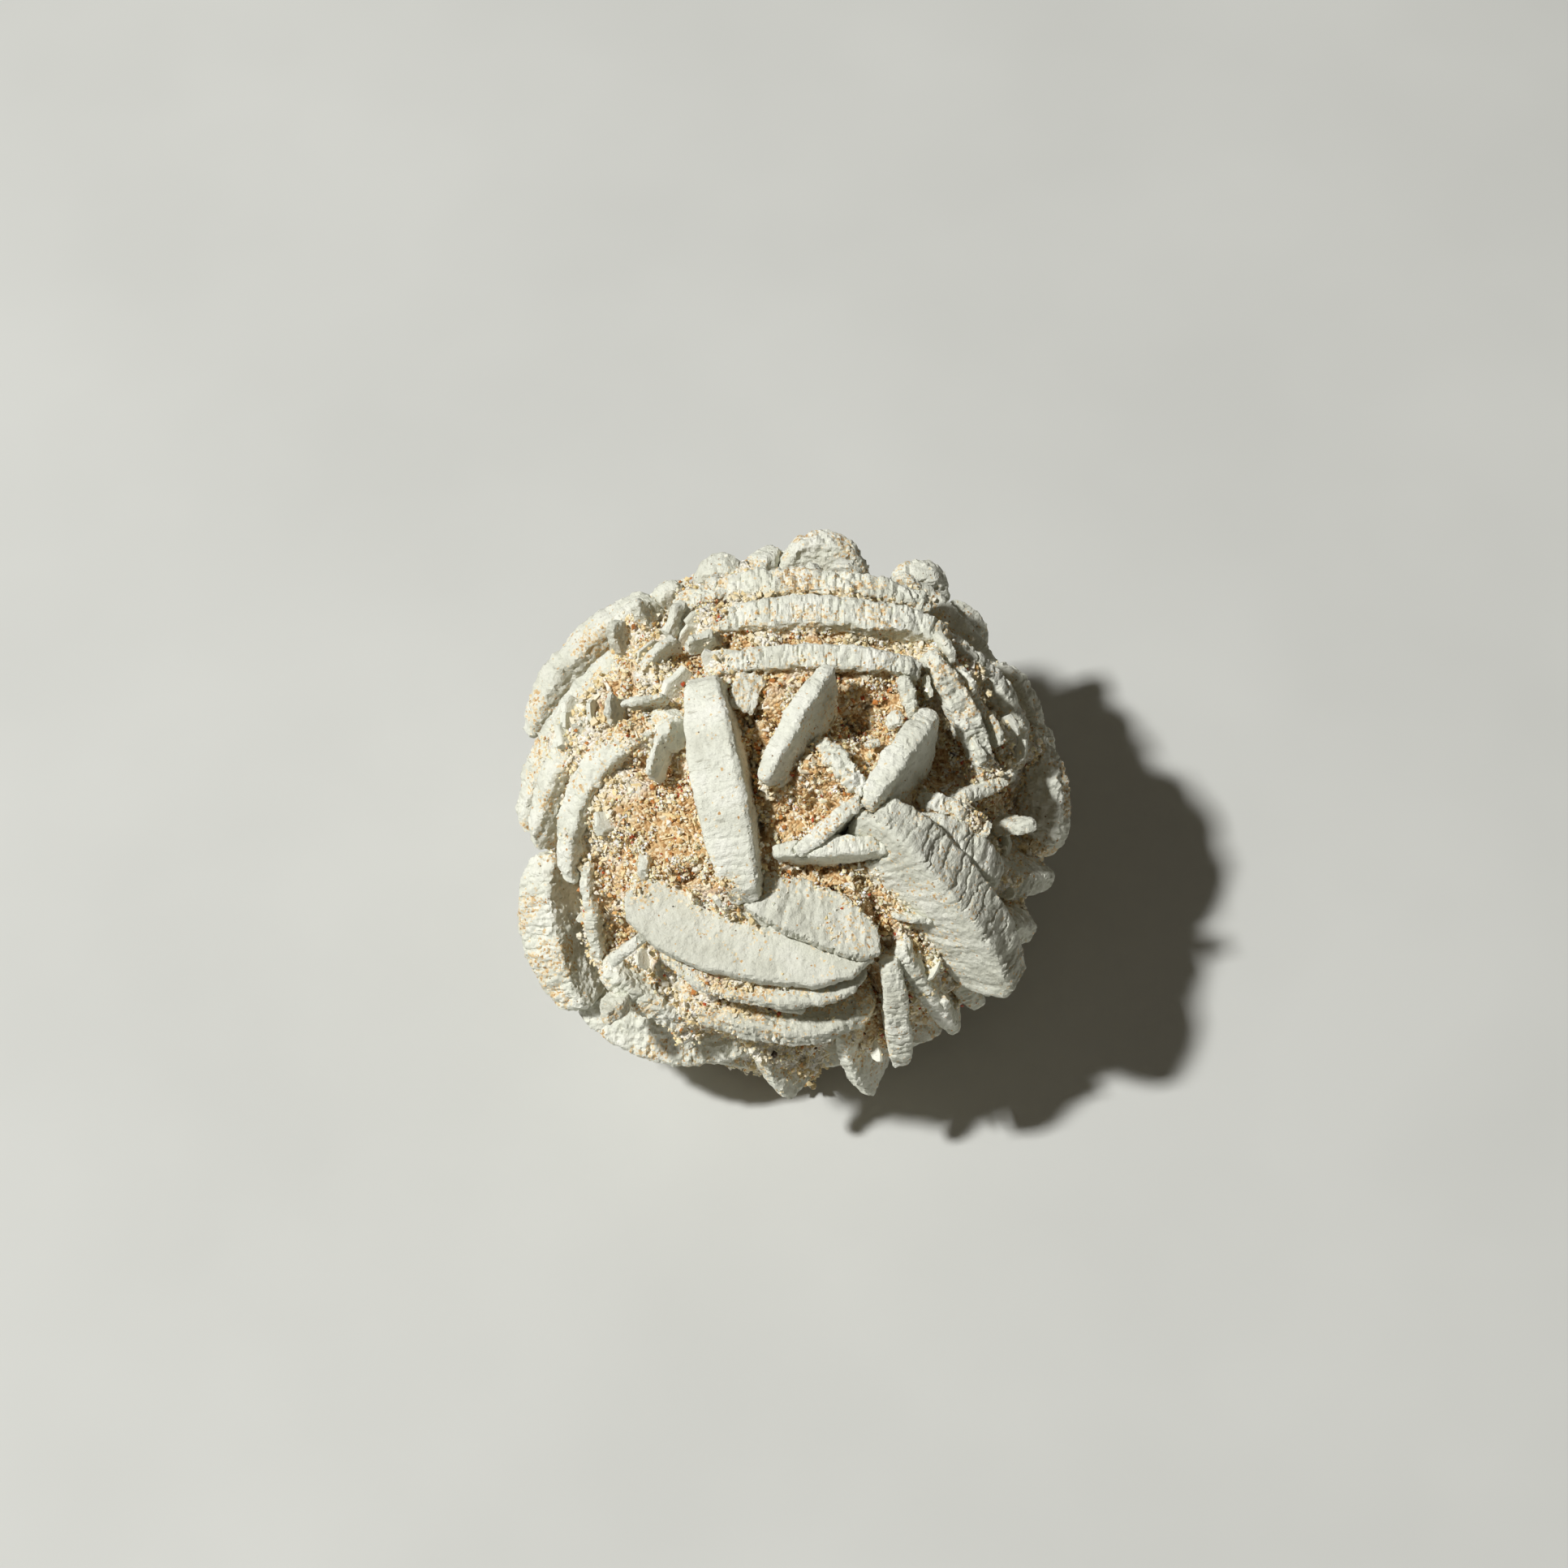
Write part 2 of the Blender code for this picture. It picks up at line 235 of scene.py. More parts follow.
def smoothstep(low, high, value):
    """Rises smoothly from 0 to 1 as a value goes from low to high."""
    part = min(max((value - low) / (high - low), 0.0), 1.0)
    return part * part * (3 - 2 * part)


def crusted(toward, level):
    """How far white crust hides the sand, from 0 to 1, in a direction of the face frame."""
    crust = 1.0
    if toward.z > 0:
        for right, up, width in SANDY_SPOTS:
            off = math.hypot(toward.x * level - right, toward.y * level - up) / width
            crust = min(crust, smoothstep(0.75, 1.25, off + 0.35 * noise.noise(toward * 9)))
    pockets = noise.noise(toward * 7 + Vector((4, 0, 0)))
    return crust * (1 - smoothstep(0.22, 0.38, pockets))


def relief(point):
    """Rough ups and downs of the cemented sand, in mm, about a place in the scene."""
    place = point / MM
    rough = 0.45 * noise.noise(place * 0.5) + 0.32 * noise.noise(place * 0.95)
    rough += 0.20 * noise.noise(place * 1.9)
    pit = max(0.0, noise.noise(place * 0.55 + Vector((9, 0, 0))) - 0.16)
    return rough - 4.2 * pit


def sand_level(toward):
    """How far the sand reaches from the rose's middle, in mm, in a direction of the face frame."""
    level = 1 / math.sqrt(sum((part / radius) ** 2 for part, radius in zip(toward, SAND_RADII)))
    direction = FACE_TURN @ toward
    level += FOOT_REACH * smoothstep(FOOT_SPREAD, 1.0, -direction.z)
    probe = ROSE_MIDDLE + direction * PACKED_LEVEL * MM
    side = direction.orthogonal().normalized()
    other = direction.cross(side)
    walls = 0
    for turn in range(8):
        way = side * math.cos(turn * math.pi / 4) + other * math.sin(turn * math.pi / 4)
        if blade_solids.ray_cast(probe, way, PACKED_REACH * MM)[0]:
            walls += 1
    level += PACKED_RISE * smoothstep(0.45, 0.95, walls / 8)
    nearest = blade_solids.find_nearest(ROSE_MIDDLE + direction * level * MM)[3] / MM
    level += FILLET_RISE * math.exp(-nearest / 0.7)
    if toward.z > 0:
        for right, up, width, height in SAND_BANKS:
            off = math.hypot(toward.x * level - right, toward.y * level - up)
            level += height * math.exp(-((off / width) ** 2))
    level += CRUST_RISE * crusted(toward, level)
    return level + 0.7 * noise.noise(toward * 6)


def keep_mesh(thing):
    """Makes the object's modifiers part of its mesh."""
    bpy.ops.object.select_all(action="DESELECT")
    thing.select_set(True)
    bpy.context.view_layer.objects.active = thing
    for modifier in list(thing.modifiers):
        bpy.ops.object.modifier_apply(modifier=modifier.name)


bpy.ops.object.select_all(action="DESELECT")
bpy.ops.mesh.primitive_ico_sphere_add(subdivisions=7, radius=1.0)
ground = bpy.context.object
ground.name = ground.data.name = "sand_ground"
crust_here = ground.data.attributes.new("crusted", "FLOAT", "POINT")
crust_here_values = []
for vert in ground.data.vertices:
    toward = vert.co.normalized()
    level = sand_level(toward)
    crust_here_values.append(crusted(toward, level))
    crust_here.data[vert.index].value = crust_here_values[-1]
    vert.co = ROSE_MIDDLE + FACE_TURN @ toward * level * MM
ease = ground.modifiers.new("ease", "SMOOTH")
ease.factor = 0.5
ease.iterations = 5
keep_mesh(ground)
for vert in ground.data.vertices:
    toward = (vert.co - ROSE_MIDDLE).normalized()
    vert.co += toward * relief(vert.co) * MM
    vert.co.z = max(vert.co.z, 0.0)
bpy.ops.object.shade_smooth()

# Cemented sand: quartz grains stained honey and rust, too fine to model one by one here.
cemented, tree, shader = new_material("cemented_sand")
place = node(tree, "ShaderNodeTexCoord").outputs["Object"]
cells = node(tree, "ShaderNodeTexVoronoi", {"Vector": place, "Scale": 3200.0})
tone = node(tree, "ShaderNodeSeparateColor", {"Color": cells.outputs["Color"]})
sand_colour = ramp(
    tree,
    tone.outputs["Red"],
    [(0.0, "#AD7F4C"), (0.35, "#D0AA74"), (0.7, "#E5CB9C"), (1.0, "#F0E2C4")],
)
crust_white = ramp(
    tree, tone.outputs["Green"], [(0.0, "#D9CBA8"), (0.35, "#E9E3D0"), (0.8, "#F3F0E6")]
)
share = node(tree, "ShaderNodeAttribute", attribute_name="crusted").outputs["Fac"]
surface = node(
    tree,
    "ShaderNodeMix",
    {"Factor": share, 6: sand_colour, 7: crust_white},
    data_type="RGBA",
)
tree.links.new(surface.outputs[2], shader.inputs["Base Color"])
shader.inputs["Roughness"].default_value = 0.7
rounded = node(
    tree,
    "ShaderNodeBump",
    {"Height": cells.outputs["Distance"], "Strength": 1.0, "Distance": 0.0003},
    invert=True,
)
tree.links.new(rounded.outputs["Normal"], shader.inputs["Normal"])
ground.data.materials.append(cemented)
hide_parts("sand_matrix")
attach(ground, "root")


# ---------------------------------------------------------------------------------------
# Gypsum blades. Each is a lens-shaped crystal, chalky from weathering, with a blunt rim
# that is ribbed across its thickness and with sand that it grew round near its foot.

FINE_VOXEL = 0.20 * MM
PLAIN_VOXEL = 0.34 * MM  # for the blades on the back and underneath
GAP_CLOSED = 0.16 * MM  # the solids stand 0.3 mm apart, and the crystals have grown together
CRUSTY = {  # how lumpy and sandy each blade's crust is, where it isn't the usual
    "corner_base": 0.8,
    "lower_base": 0.8,
    "corner_slab": 1.0,
    "corner_edge": 0.5,
    "crusted_ridge": 1.4,
    "right_wall": 0.5,
    "right_petal_lower": 1.0,
    "left_petal_outer": 0.8,
    "left_petal_third": 0.8,
    "left_petal_second": 0.6,
    "left_petal": 0.3,
    "third_crescent": 0.7,
    "second_crescent": 0.5,
    "long_ridge": 0.8,
    "short_ridge": 0.8,
    "outer_ridge": 0.9,
    "low_ridge": 1.0,
    "lower_shelf": 0.7,
    "hollow_rib": 0.8,
    "top_petal": 0.5,
    "top_petal_second": 0.7,
    "top_petal_third": 1.2,
    "top_crescent": 0.3,
    "tall_wall": 0.05,
    "main_crescent": 0.1,
    "crown_middle": 0.8,
    "crown_right": 0.8,
}
# Painted shade: these blades' faces are greyed to stand for the shade that falls on them.
PAINTED_SHADE_GREY = {  # how far a blade's white is greyed
    "main_crescent": 0.45,
    "second_crescent": 0.6,
    "third_crescent": 0.6,
    "top_crescent": 0.45,
    "long_slab": 0.2,
    "left_petal_second": 0.15,
    "left_petal_third": 0.2,
    "left_petal_outer": 0.2,
}
FOOT_DEPTH = 3.6  # how far into the sand a crystal goes on, in mm
PLAIN_FOOT_DEPTH = 0.8
SANDY_BAND = 1.4  # sand clings to a blade this near the ground, in mm
SHARP_EDGE = math.radians(24)  # past this turn an edge looks broken and not worn
LEAST_BEND = 15.0  # the shortest radius about which the ribs fan out, in mm
TOOTHED = {  # how strongly a blade's rim is ribbed, where it isn't 1
    "top_petal_second": 1.7,
    "top_petal": 1.4,
    "top_crescent": 1.8,
    "level_wall": 1.2,
    "long_slab": 1.4,
    "right_petal": 1.6,
    "upper_slab": 1.5,
    "long_ridge": 1.4,
    "tall_wall": 0.5,
    "thin_wall": 0.5,
    "main_crescent": 0.6,
}

blade_names = sorted(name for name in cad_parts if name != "sand_matrix")

ground_verts = [vert.co.copy() for vert in ground.data.vertices]
ground_faces = [list(face.vertices) for face in ground.data.polygons]
ground_tree = BVHTree.FromPolygons(ground_verts, ground_faces)

bpy.ops.object.select_all(action="DESELECT")
bpy.ops.mesh.primitive_ico_sphere_add(subdivisions=4, radius=1.0)
core = bpy.context.object
for vert in core.data.vertices:
    depth = FOOT_DEPTH if vert.co.z > 0.2 else PLAIN_FOOT_DEPTH
    reach = Vector([part * (radius - depth) for part, radius in zip(vert.co, SAND_RADII)])
    vert.co = ROSE_MIDDLE + FACE_TURN @ reach * MM


def crystal_axes(blade):
    """A blade's pole and axes: along its rim, out from the rose, and across its thickness."""
    points = np.array([vert.co for vert in blade.data.vertices])
    middle = Vector(points.mean(0))
    _, axes = np.linalg.eigh(np.cov((points - points.mean(0)).T))
    across = Vector(axes[:, 0]).normalized()
    out = middle - ROSE_MIDDLE
    out -= out.dot(across) * across
    bend = max(out.length, LEAST_BEND * MM)
    out.normalize()
    return middle - out * bend, np.array([out.cross(across), out, across]), bend


def grown_copy(name):
    """A closed, evenly meshed copy of a blade's solid, grown to meet its neighbours."""
    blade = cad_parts[name].copy()
    blade.data = blade.data.copy()
    blade.name = blade.data.name = name + "_crystal"
    blade.parent = None
    for key in list(blade.keys()):
        del blade[key]
    bpy.context.scene.collection.objects.link(blade)
    bm = bmesh.new()
    bm.from_mesh(blade.data)
    bmesh.ops.remove_doubles(bm, verts=bm.verts, dist=1e-6)
    bm.to_mesh(blade.data)
    bm.free()
    blade.data.materials.clear()
    pole, axes, bend = crystal_axes(blade)
    faces_out = (FACE_TURN.transposed() @ (pole + Vector(axes[1]) * bend - ROSE_MIDDLE)).z > -4 * MM
    foot = blade.modifiers.new("foot", "BOOLEAN")
    foot.operation = "DIFFERENCE"
    foot.object = core
    remesh = blade.modifiers.new("even", "REMESH")
    remesh.mode = "VOXEL"
    remesh.voxel_size = FINE_VOXEL if faces_out else PLAIN_VOXEL
    remesh.use_smooth_shade = True
    grow = blade.modifiers.new("grow", "DISPLACE")
    grow.mid_level = 0.0
    grow.strength = GAP_CLOSED
    keep_mesh(blade)
    return blade, pole, axes, bend


def weather(blade, pole, axes, bend, seed, toothed, crusty, shade_grey):
    """Roughens a crystal and stores where it is sandy, how far it is greyed as painted shade, and where
    its rim is.

    The rim gets ribs and clefts, the faces striae and steps, and the corners chips.
    """
    mesh = blade.data
    count = len(mesh.vertices)
    points = np.empty(count * 3)
    mesh.vertices.foreach_get("co", points)
    points = points.reshape(-1, 3)
    normals = np.empty(count * 3)
    mesh.vertex_normals.foreach_get("vector", normals)
    normals = normals.reshape(-1, 3)
    local = (points - np.array(pole)) @ axes.T / MM
    radius = np.hypot(local[:, 0], local[:, 1])
    arc = np.arctan2(local[:, 0], local[:, 1]) * bend / MM
    rim = np.clip((0.9 - np.abs(normals @ axes[2])) / 0.45, 0, 1)
    shift = np.empty(count)
    sandy = np.empty(count)
    for i in range(count):
        a, r, z = arc[i], radius[i], local[i, 2]
        x, y = local[i, 0], local[i, 1]
        point = Vector(points[i])
        found, facing, _, gap = ground_tree.find_nearest(point)
        above_sand = gap / MM * (1 if (point - found).dot(facing) > 0 else -1)
        lumps = noise.noise(Vector((x * 0.4 + seed, y * 0.4, z * 0.4)))
        wander = 0.5 * noise.noise(Vector((x * 0.8, y * 0.8 + seed, z * 0.8)))
        groove = noise.noise(Vector((a * 1.25 + wander, r * 0.22 + seed, z * 0.12)))
        cleft = max(0.0, 1 - abs(groove) / 0.16)
        ribs = noise.noise(Vector((a * 2.1 + wander, r * 0.35, z * 0.25 + seed)))
        crumbs = noise.noise(Vector((x * 2.1, y * 2.1 + seed, z * 2.1)))
        striae = noise.noise(Vector((a * 1.6 + wander, r * 0.30 + seed, z * 0.5)))
        steps = math.floor(5 * noise.noise(Vector((x * 0.55 + seed, y * 0.35, z * 0.9 + 7)))) / 5
        clumps = noise.noise(Vector((x * 1.1, y * 1.1, z * 1.1 + seed)))
        grit = noise.noise(Vector((x * 3.6, y * 3.6 + seed, z * 3.6)))
        patch = noise.noise(Vector((x * 0.28, y * 0.28 + seed, z * 0.28 + 3)))
        edge = rim[i]
        foot = max(0.0, 1 - abs(above_sand) / SANDY_BAND)
        shift[i] = (
            0.10 * lumps
            + edge * toothed * (0.05 * ribs - 0.15 * cleft)
            + (1 - edge) * (0.12 * steps + 0.10 * toothed * striae)
            - 1.5 * edge * (1 - edge) * max(0.0, crumbs + 0.4 * grit - 0.05)
            + 0.06 * crumbs
            + 0.05 * grit
            + crusty * (0.18 * crumbs + 0.20 * clumps + 0.22 * lumps + 0.08 * grit)
            + foot * (0.16 * crumbs + 0.12 * clumps)
        )
        stain = smoothstep(0.08, 0.34, patch - 0.5 * clumps)
        sandy[i] = 0.7 * foot**2 + 0.01 + 0.65 * min(crusty, 1.0) * stain
    points += normals * (shift * MM)[:, None]
    points[:, 2] = np.maximum(points[:, 2], 0.0)
    mesh.vertices.foreach_set("co", points.ravel())
    growth = mesh.attributes.new("growth", "FLOAT_VECTOR", "POINT")
    growth.data.foreach_set("vector", np.column_stack([arc, radius, local[:, 2]]).ravel())
    caught = mesh.attributes.new("sandy", "FLOAT", "POINT")
    caught.data.foreach_set("value", np.clip(sandy, 0, 1))
    on_rim = mesh.attributes.new("on_rim", "FLOAT", "POINT")
    on_rim.data.foreach_set("value", rim * toothed / 2)
    # Painted shade: each point keeps its blade's share of greying, which stands for shade.
    shade_layer = mesh.attributes.new("shade_grey", "FLOAT", "POINT")
    shade_layer.data.foreach_set("value", np.full(count, shade_grey))
    mesh.update()
    mesh.set_sharp_from_angle(angle=SHARP_EDGE)


# Weathered gypsum: matt, chalk-white and a little translucent at thin edges, cream where
# sand dust has caught, greyed by painted shade in the striae's grooves and on shaded blades, with grains
# of sand set in it.
gypsum, tree, shader = new_material("weathered_gypsum")
place = node(tree, "ShaderNodeTexCoord").outputs["Object"]
growth = node(tree, "ShaderNodeAttribute", attribute_name="growth").outputs["Vector"]
patches = node(tree, "ShaderNodeTexNoise", {"Vector": place, "Scale": 320.0, "Detail": 6.0})
white = ramp(
    tree, patches.outputs["Fac"], [(0.3, "#CCCCBC"), (0.48, "#DFE0D1"), (0.7, "#EAEADE")]
)
stretched = node(tree, "ShaderNodeMapping", {"Vector": growth, "Scale": (3.2, 0.8, 0.5)})
striae = node(
    tree,
    "ShaderNodeTexNoise",
    {"Vector": stretched.outputs["Vector"], "Scale": 1.0, "Detail": 4.0, "Roughness": 0.68},
)
rim_here = node(tree, "ShaderNodeAttribute", attribute_name="on_rim").outputs["Fac"]
line_depth = node(
    tree, "ShaderNodeMapRange", {"Value": rim_here, "To Min": 0.00008, "To Max": 0.00024}
).outputs["Result"]
flakes = node(tree, "ShaderNodeTexNoise", {"Vector": place, "Scale": 700.0, "Detail": 3.0})
stepped = node(
    tree, "ShaderNodeMath", {0: flakes.outputs["Fac"], 1: 0.06}, operation="SNAP"
).outputs["Value"]
terraces = node(
    tree, "ShaderNodeBump", {"Height": stepped, "Strength": 1.0, "Distance": 0.0004}
).outputs["Normal"]
# Painted shade: where the striae run low, in the grooves of the bump below, the white is greyed as if
# shaded.
groove_shade = node(
    tree,
    "ShaderNodeMapRange",
    {"Value": striae.outputs["Fac"], "From Min": 0.40, "From Max": 0.25},
)
grey = node(
    tree,
    "ShaderNodeMix",
    {"Factor": groove_shade.outputs["Result"], 6: white, 7: colour("#A39F8D")},
    data_type="RGBA",
)
# Painted shade: the blades listed as shaded are mixed towards a flat greyish white.
shade_share = node(tree, "ShaderNodeAttribute", attribute_name="shade_grey").outputs["Fac"]
shade_greyed = node(
    tree,
    "ShaderNodeMix",
    {"Factor": shade_share, 6: grey.outputs[2], 7: colour("#C3C3B4")},
    data_type="RGBA",
)
sandy = node(tree, "ShaderNodeAttribute", attribute_name="sandy").outputs["Fac"]
grain = node(tree, "ShaderNodeTexVoronoi", {"Vector": place, "Scale": 4600.0})
dice = node(tree, "ShaderNodeSeparateColor", {"Color": grain.outputs["Color"]})
held = node(
    tree, "ShaderNodeMath", {0: sandy, 1: dice.outputs["Blue"]}, operation="GREATER_THAN"
).outputs["Value"]
grain_colour = ramp(
    tree,
    dice.outputs["Red"],
    [(0.0, "#B88F5E"), (0.15, "#D3B485"), (0.5, "#E1D0A9"), (0.85, "#E8DFC8")],
)
stained = node(
    tree,
    "ShaderNodeMix",
    {"Factor": held, 6: shade_greyed.outputs[2], 7: grain_colour},
    data_type="RGBA",
)
specks = node(tree, "ShaderNodeTexVoronoi", {"Vector": place, "Scale": 1500.0})
set_in = node(
    tree,
    "ShaderNodeMapRange",
    {"Value": specks.outputs["Distance"], "From Min": 0.16, "From Max": 0.10},
).outputs["Result"]
kind = node(tree, "ShaderNodeSeparateColor", {"Color": specks.outputs["Color"]})
chosen = node(
    tree, "ShaderNodeMath", {0: kind.outputs["Green"], 1: 0.68}, operation="GREATER_THAN"
).outputs["Value"]
shown = node(
    tree, "ShaderNodeMath", {0: set_in, 1: chosen}, operation="MULTIPLY"
).outputs["Value"]
speck_colour = ramp(
    tree, kind.outputs["Red"], [(0.0, "#6E6455"), (0.5, "#B98F5C"), (1.0, "#D8BE92")]
)
speckled = node(
    tree,
    "ShaderNodeMix",
    {"Factor": shown, 6: stained.outputs[2], 7: speck_colour},
    data_type="RGBA",
)
tree.links.new(speckled.outputs[2], shader.inputs["Base Color"])
shader.inputs["Roughness"].default_value = 0.82
shader.inputs["Specular IOR Level"].default_value = 0.3
fine_lines = node(
    tree,
    "ShaderNodeBump",
    {
        "Height": striae.outputs["Fac"],
        "Strength": 1.0,
        "Distance": line_depth,
        "Normal": terraces,
    },
)
pits = node(
    tree,
    "ShaderNodeTexNoise",
    {"Vector": place, "Scale": 2300.0, "Detail": 3.0, "Roughness": 0.65},
)
pitted = node(
    tree,
    "ShaderNodeBump",
    {
        "Height": pits.outputs["Fac"],
        "Strength": 1.0,
        "Distance": 0.00016,
        "Normal": fine_lines.outputs["Normal"],
    },
)
tree.links.new(pitted.outputs["Normal"], shader.inputs["Normal"])

crystals = []
for number, name in enumerate(blade_names):
    blade, pole, axes, bend = grown_copy(name)
    toothed = TOOTHED.get(name, 1.0)
    usual_crust = 0.2 if name in TOOTHED else 0.4
    crusty = CRUSTY.get(name, usual_crust)
    weather(blade, pole, axes, bend, number * 11.3, toothed, crusty, PAINTED_SHADE_GREY.get(name, 0.0))
    blade.data.materials.append(gypsum)
    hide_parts(name)
    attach(blade, "root")
    crystals.append(blade)
bpy.data.objects.remove(core)


# ---------------------------------------------------------------------------------------
# Small crystals. Stubs, flakes and bars of gypsum a few millimetres long, which grew in the
# gaps between the big blades; here each is a tapered slab, sunk in the sand at its foot.

SMALL_VOXEL = 0.20 * MM
SMALL_CRYSTALS = [
    # right, up and out in mm, length, height and thickness in mm, heading and lean in degrees
    (-4.6, 11.4, 17.2, 3.4, 0.5, 2.6, 70, 20),
    (-12.4, 6.0, 16.8, 5.4, 2.2, 0.7, 72, 0),
    (-11.2, 7.6, 16.8, 3.4, 2.0, 0.8, 60, -10),
    (-13.8, 10.4, 15.6, 4.4, 1.8, 0.5, 6, 0),
    (-16.6, 9.6, 14.0, 3.0, 2.0, 0.5, 88, 0),
    (-13.9, -4.6, 15.6, 2.4, 1.8, 1.0, 80, 10),
    (-15.4, -12.2, 14.2, 4.4, 2.2, 1.0, 42, 0),
    (-17.0, -18.0, 8.4, 2.4, 2.2, 1.6, 10, 0),
    (14.6, 0.2, 15.6, 2.6, 2.0, 1.0, 120, 0),
    (16.8, -1.4, 14.6, 2.0, 2.2, 0.8, 60, 0),
    (9.0, 8.8, 17.6, 1.4, 1.2, 0.8, 100, 20),
    (7.0, 6.6, 18.0, 1.4, 0.7, 0.8, 20, 20),
    (3.0, -8.2, 17.6, 2.4, 1.4, 0.6, 10, 20),
    (10.8, -9.4, 17.0, 3.8, 1.2, 0.6, 170, 0),
    (-16.4, 16.6, 6.5, 2.6, 2.4, 1.0, 75, 0),
    (-14.2, 18.4, 5.5, 2.2, 2.8, 1.2, 95, 0),
    (-11.0, 17.8, 9.0, 3.4, 2.2, 1.0, 60, 0),
    (-7.6, 20.6, 5.4, 3.2, 2.4, 1.2, 60, 0),
    (-12.6, 14.6, 12.0, 4.2, 1.8, 0.9, 40, 0),
    (-8.8, 16.0, 13.8, 3.0, 1.6, 0.9, 20, 0),
    (1.2, 21.8, 3.8, 2.6, 2.6, 1.4, 30, 0),
    (4.6, 22.6, 1.0, 3.0, 2.4, 1.4, 150, 0),
    (10.2, 21.2, 2.4, 3.0, 2.4, 1.1, 160, 0),
    (13.8, 15.2, 12.4, 3.6, 1.3, 0.7, 118, 0),
    (15.8, 12.4, 12.6, 3.0, 1.3, 0.6, 125, 0),
    (18.4, 7.8, 12.0, 3.0, 1.4, 0.7, 118, 0),
    (14.6, 9.4, 14.2, 2.6, 1.1, 0.6, 128, 0),
    (16.6, 6.0, 14.0, 3.0, 1.2, 0.6, 112, 0),
    (12.2, 11.8, 14.8, 2.4, 1.0, 0.5, 100, 0),
    (20.6, -1.0, 10.2, 2.8, 2.4, 1.2, 20, 0),
    (13.0, -16.4, 10.2, 2.4, 2.8, 0.9, 120, 0),
    (3.2, -18.6, 11.6, 2.2, 2.2, 0.9, 80, 0),
    (-1.0, -17.4, 13.8, 3.4, 1.4, 0.6, 172, 0),
]
STRAY_CRYSTALS = 220
TO_FRONT = 0.9  # how much the small crystals lean from straight out towards the face's axis

random = np.random.default_rng(7)


def slab(bm, place, out, heading, lean, length, height, thickness):
    """Adds a tapered slab that stands on a place, its long side turned by heading."""
    out = out.normalized()
    side = out.orthogonal().normalized()
    level = (FACE_TURN @ Vector((1, 0, 0))) - out * out.dot(FACE_TURN @ Vector((1, 0, 0)))
    if level.length > 0.3:
        side = level.normalized()
    side = Matrix.Rotation(heading, 3, out) @ side
    rise = Matrix.Rotation(lean, 3, side) @ out
    across = side.cross(rise)
    ring = []
    for i in range(10):
        turn = i * math.pi / 5
        wide = 1 + random.uniform(-0.18, 0.18)
        square = (abs(math.cos(turn)) ** 6 + abs(math.sin(turn)) ** 6) ** (-1 / 6)
        wide *= 0.25 + 0.75 * square
        ring.append((math.cos(turn) * length / 2 * wide, math.sin(turn) * height * wide))
    sheets = []
    for half, shrink in ((-0.5, 0.90), (-0.42, 1.0), (0.42, 1.0), (0.5, 0.90)):
        sheets.append(
            [
                bm.verts.new(place + side * x * shrink + rise * y * shrink + across * half * thickness)
                for x, y in ring
            ]
        )
    for low, high in zip(sheets, sheets[1:]):
        for i in range(10):
            bm.faces.new((low[i - 1], low[i], high[i], high[i - 1]))
    bm.faces.new(sheets[0][::-1])
    bm.faces.new(sheets[-1])


bm = bmesh.new()
for right, up, out, length, height, thickness, heading, lean in SMALL_CRYSTALS:
    place = on_face(right, up, out)
    slab(
        bm,
        place,
        (place - ROSE_MIDDLE).normalized() + look * TO_FRONT,
        math.radians(heading),
        math.radians(lean),
        length * MM,
        height * MM,
        thickness * MM,
    )
mesh = bpy.data.meshes.new("small_crystals")
bmesh.ops.recalc_face_normals(bm, faces=bm.faces)
bm.to_mesh(mesh)
bm.free()
small = bpy.data.objects.new("small_crystals", mesh)
bpy.context.scene.collection.objects.link(small)
remesh = small.modifiers.new("even", "REMESH")
remesh.mode = "VOXEL"
remesh.voxel_size = SMALL_VOXEL
remesh.use_smooth_shade = True
keep_mesh(small)
upright = np.array([FACE_TURN @ Vector(axis) for axis in ((1, 0, 0), (0, 0, 1), (0, 1, 0))])
weather(small, ROSE_MIDDLE, upright, 22 * MM, 4.4, 0.6, 0.5, 0.1)

bm = bmesh.new()
placed = 0
while placed < STRAY_CRYSTALS:
    vert = ground.data.vertices[random.integers(len(ground.data.vertices))]
    if crust_here_values[vert.index] < 0.5 or vert.co.z < 3 * MM:
        continue
    found, facing, _, gap = blade_solids.find_nearest(vert.co)
    if (vert.co - found).dot(facing) < 0 or gap < 0.3 * MM:
        continue
    out = (vert.co - ROSE_MIDDLE).normalized()
    face_out = FACE_TURN.transposed() @ out
    ring_way = math.degrees(math.atan2(face_out.y, face_out.x)) + 90
    slab(
        bm,
        vert.co - out * 0.5 * MM,
        out + look * max(0.0, face_out.z) * TO_FRONT,
        math.radians(ring_way + random.uniform(-30, 30)),
        math.radians(random.uniform(-25, 25)),
        random.uniform(1.0, 3.4) * MM,
        random.uniform(1.0, 2.0) * MM,
        random.uniform(0.25, 0.8) * MM,
    )
    placed += 1
mesh = bpy.data.meshes.new("stray_crystals")
bmesh.ops.recalc_face_normals(bm, faces=bm.faces)
bm.to_mesh(mesh)
bm.free()
stray = bpy.data.objects.new("stray_crystals", mesh)
bpy.context.scene.collection.objects.link(stray)
for piece in (small, stray):
    piece.data.materials.append(gypsum)
    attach(piece, "root")
    crystals.append(piece)


# ---------------------------------------------------------------------------------------
# Loose grains. Quartz sand of about 0.3 mm, honey to rust with a few red and black grains,
# stuck over the ground and low on the blades. Each is a small, blunt-cornered, ten-sided chip.

PIECE_LIMIT = 18000  # copies joined in one piece
GRAIN_SPOTS = 128000
SLIVER_SPOTS = 16000
CRUMB_SPOTS = 52000
STUCK_SPOTS = 150000


